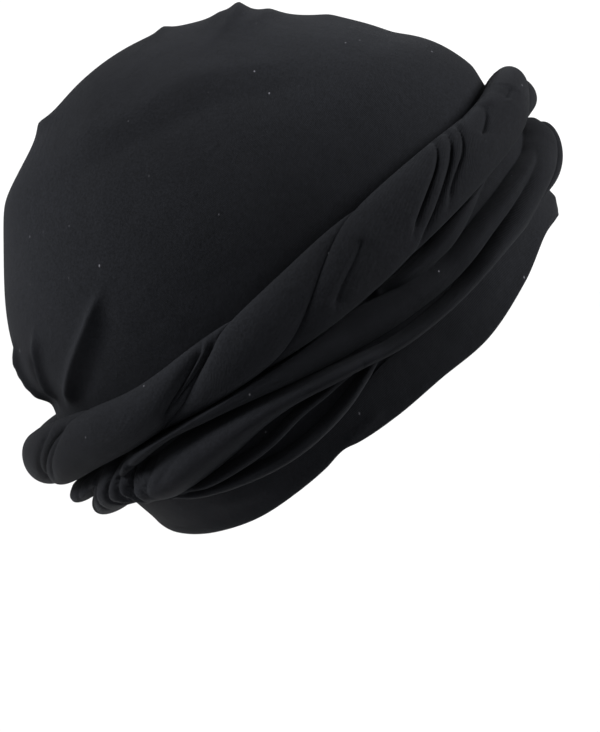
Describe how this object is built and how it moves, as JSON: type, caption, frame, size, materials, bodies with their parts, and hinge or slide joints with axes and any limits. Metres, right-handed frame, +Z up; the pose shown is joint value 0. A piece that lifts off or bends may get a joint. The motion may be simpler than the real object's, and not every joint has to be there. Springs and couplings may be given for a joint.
{
  "type": "turban headwrap",
  "caption": "Soft jersey turban headwrap with a gathered crown, a brow band and two rolls of wound cloth around the rim, in its worn shape.",
  "frame": {"origin": "middle of the rim's opening, where the head goes in, halfway between forehead and nape", "axes": "+Z up as worn with the face level, -Y the way the wearer faces, +X the wearer's left"},
  "size_m": [0.1998, 0.2271, 0.2108],
  "materials": {
    "crown_jersey": "matt black knitted jersey",
    "band_jersey": "matt black knitted jersey, stretched",
    "roll_jersey": "matt black knitted jersey, wound in folds"
  },
  "bodies": {
    "root": {"crown": "crown_jersey", "brow_band": "band_jersey", "upper_roll": "roll_jersey", "lower_roll": "roll_jersey"}
  },
  "joints": []
}
